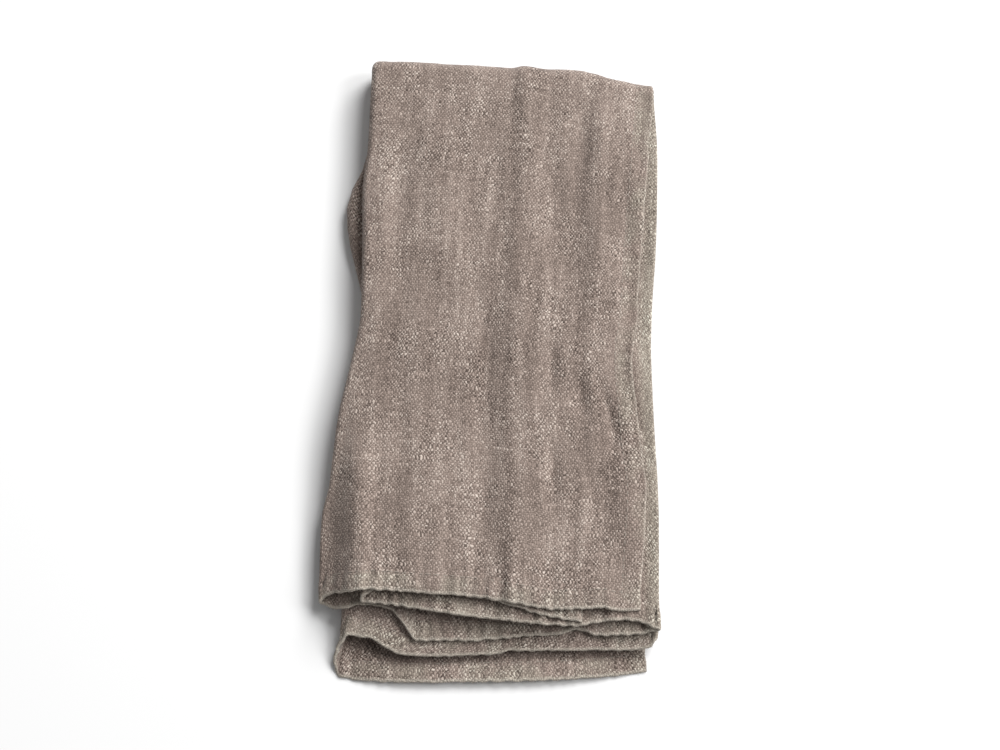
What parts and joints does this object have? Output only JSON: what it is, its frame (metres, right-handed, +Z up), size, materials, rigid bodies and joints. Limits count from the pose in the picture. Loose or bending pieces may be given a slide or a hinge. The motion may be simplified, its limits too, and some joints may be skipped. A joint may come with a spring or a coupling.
{
  "type": "folded cloth napkin",
  "caption": "Hemmed linen napkin folded in quarters lengthwise and in half across, lying flat as a soft uneven stack of layers.",
  "frame": {"origin": "under the middle of the bounding box, on the surface the napkin lies on", "axes": "+Z up from the surface, +Y from the open hems towards the crosswise fold, +X across the width"},
  "size_m": [0.1234, 0.2392, 0.0159],
  "materials": {
    "linen": "washed plain-weave linen, taupe, matt, with slubs and darker and lighter threads"
  },
  "bodies": {
    "root": {"napkin_cloth": "linen"}
  },
  "joints": []
}
